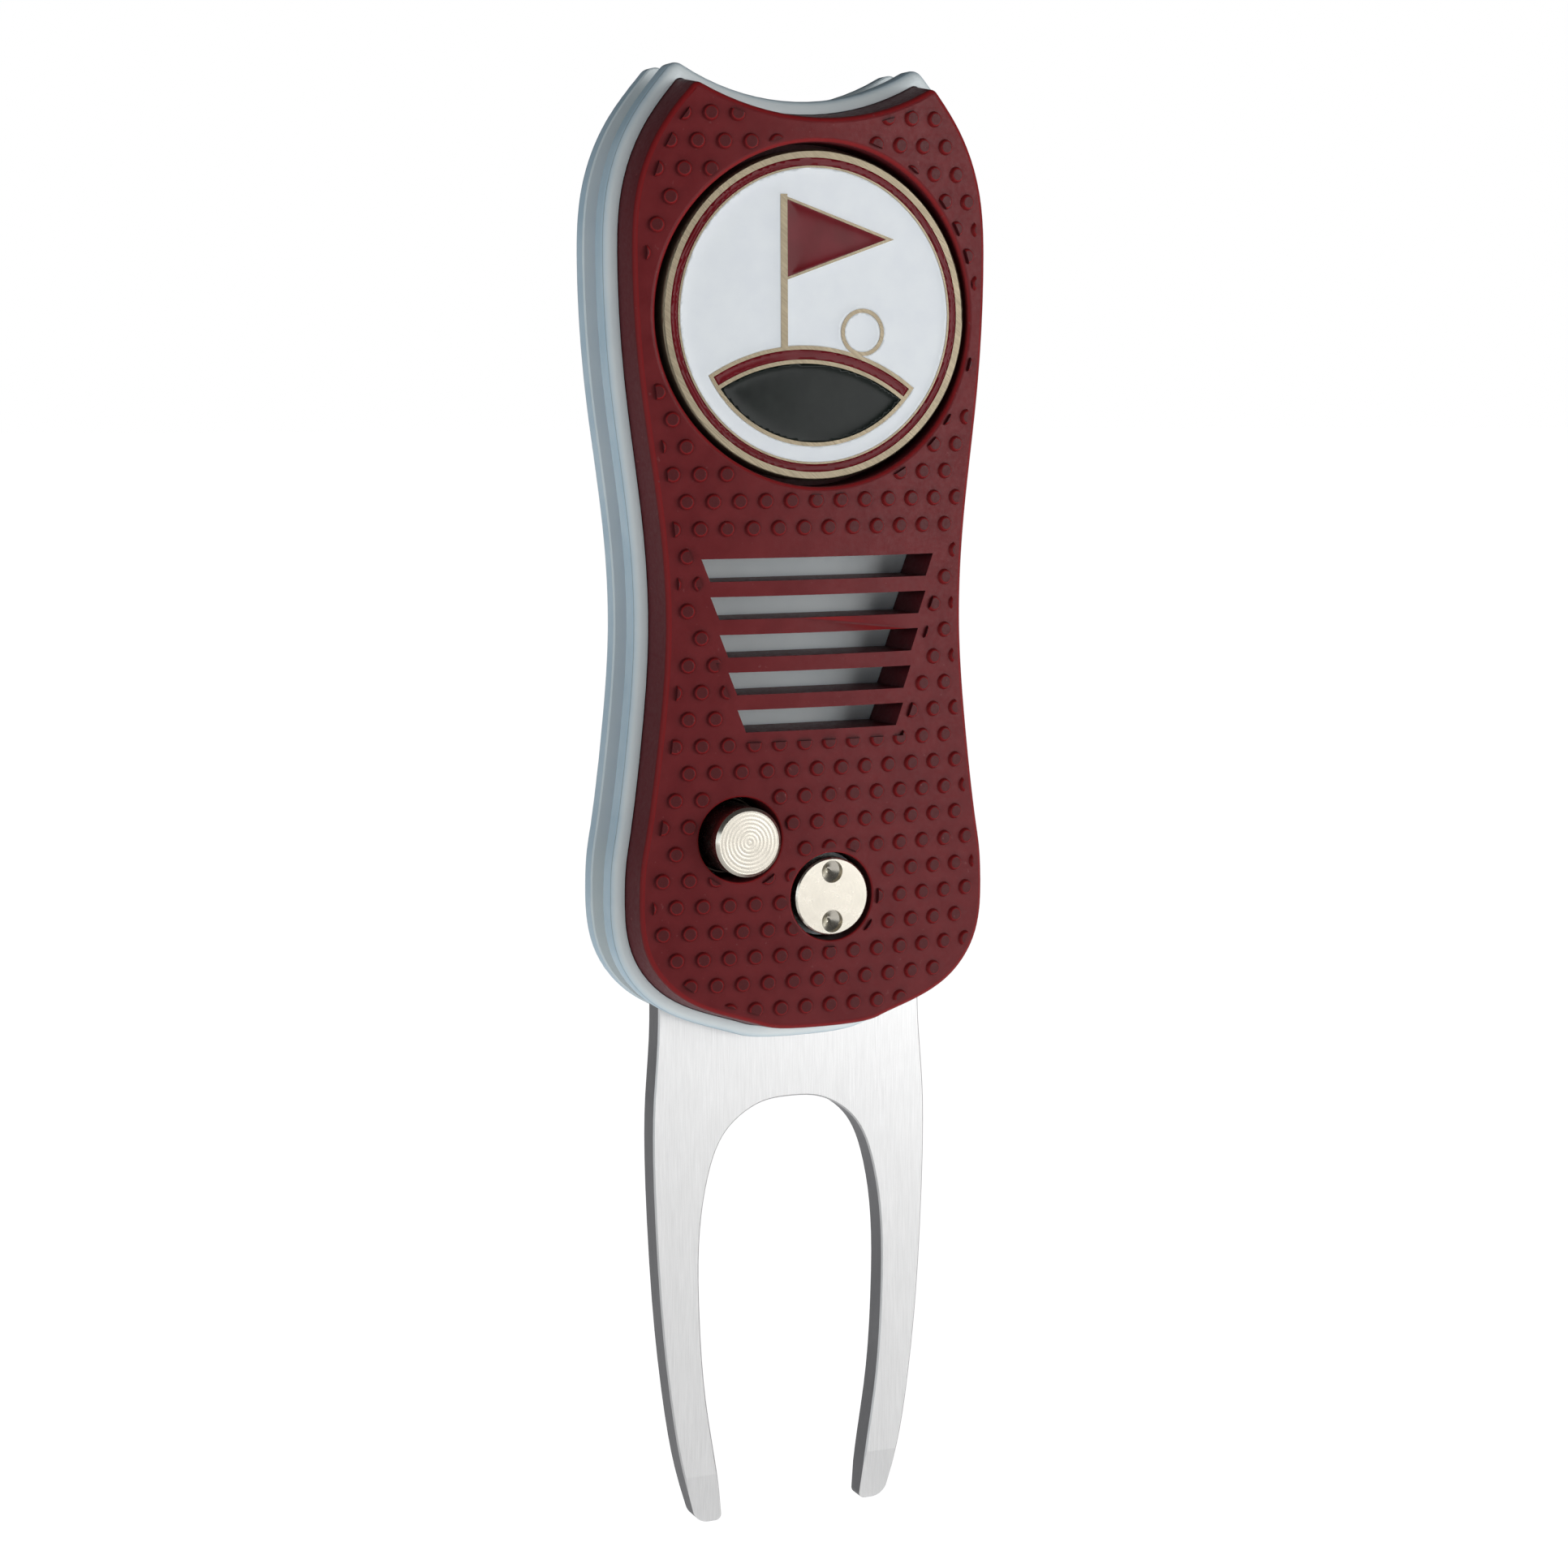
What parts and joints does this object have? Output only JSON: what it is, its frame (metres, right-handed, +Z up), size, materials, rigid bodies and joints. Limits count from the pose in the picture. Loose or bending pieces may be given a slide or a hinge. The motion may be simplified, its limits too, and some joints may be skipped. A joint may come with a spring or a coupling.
{
  "type": "divot repair tool",
  "caption": "Spring-open folding divot repair tool: a two-pronged steel fork pivots out of a bumpy grip handle with a release button and a removable magnetic ball marker.",
  "frame": {"origin": "middle of the handle's waist, on the handle's centre plane and on the middle plane of the fork's plate", "axes": "+Z up the handle, away from the prongs; -Y out of the front face with the ball marker and the button; +X to the right seen from the front, the side the fork swings out of"},
  "size_m": [0.032, 0.0172, 0.1151],
  "materials": {
    "cover_grip": "matte soft-touch, dark maroon, moulded with small bumps",
    "shell_plastic": "satin pale grey-blue",
    "spine_plastic": "matte blue-grey",
    "fork_steel": "brushed along its length",
    "pivot_nickel": "warm satin nickel plate",
    "button_nickel": "warm nickel plate, turned end face",
    "washer_bronze": "phosphor bronze, polished",
    "spring_steel": "drawn spring wire and pressed steel",
    "screw_steel": "zinc plated",
    "magnet_nickel": "nickel-plated magnet",
    "coin_metal": "antique nickel-brass, brushed",
    "enamel_white": "glossy soft enamel, white",
    "enamel_maroon": "glossy soft enamel, maroon",
    "enamel_dark": "glossy soft enamel, very dark green"
  },
  "bodies": {
    "handle": {"front_cover": "cover_grip", "rear_cover": "cover_grip", "front_shell": "shell_plastic", "rear_shell": "shell_plastic", "spine": "spine_plastic", "horn_standoff": "spine_plastic", "pivot_screw": "pivot_nickel", "pivot_barrel": "pivot_nickel", "thrust_washer_front": "washer_bronze", "thrust_washer_rear": "washer_bronze", "torsion_spring": "spring_steel", "button_guide": "button_nickel", "button_spring": "spring_steel", "spring_cap": "spring_steel", "body_screws": "screw_steel", "body_nuts": "screw_steel", "marker_magnet": "magnet_nickel", "magnet_keeper": "screw_steel"},
    "fork": {"fork": "fork_steel"},
    "button": {"release_button": "button_nickel"},
    "marker": {"marker_coin": "coin_metal", "enamel_ring": "enamel_maroon", "enamel_field": "enamel_white", "enamel_ground": "enamel_dark", "enamel_ridge": "enamel_maroon", "enamel_flag": "enamel_maroon", "enamel_ball": "enamel_white", "enamel_reverse": "enamel_maroon"}
  },
  "joints": [
    {"name": "fork_hinge", "type": "hinge", "parent": "handle", "child": "fork", "pos_m": [0.00072, 0, -0.02163], "axis": [0, -1, 0], "range_deg": [0, 180], "stiffness_Nm_per_rad": 0.02, "springref_deg": -51.57, "deforming": ["torsion_spring"]},
    {"name": "button_press", "type": "slide", "parent": "handle", "child": "button", "axis": [0, 1, 0], "range_m": [0, 0.0016], "stiffness_N_per_m": 500, "springref_m": -0.004, "deforming": ["button_spring"]},
    {"name": "marker_lift", "type": "slide", "parent": "handle", "child": "marker", "axis": [0, -1, 0], "range_m": [0, 0.012]}
  ]
}
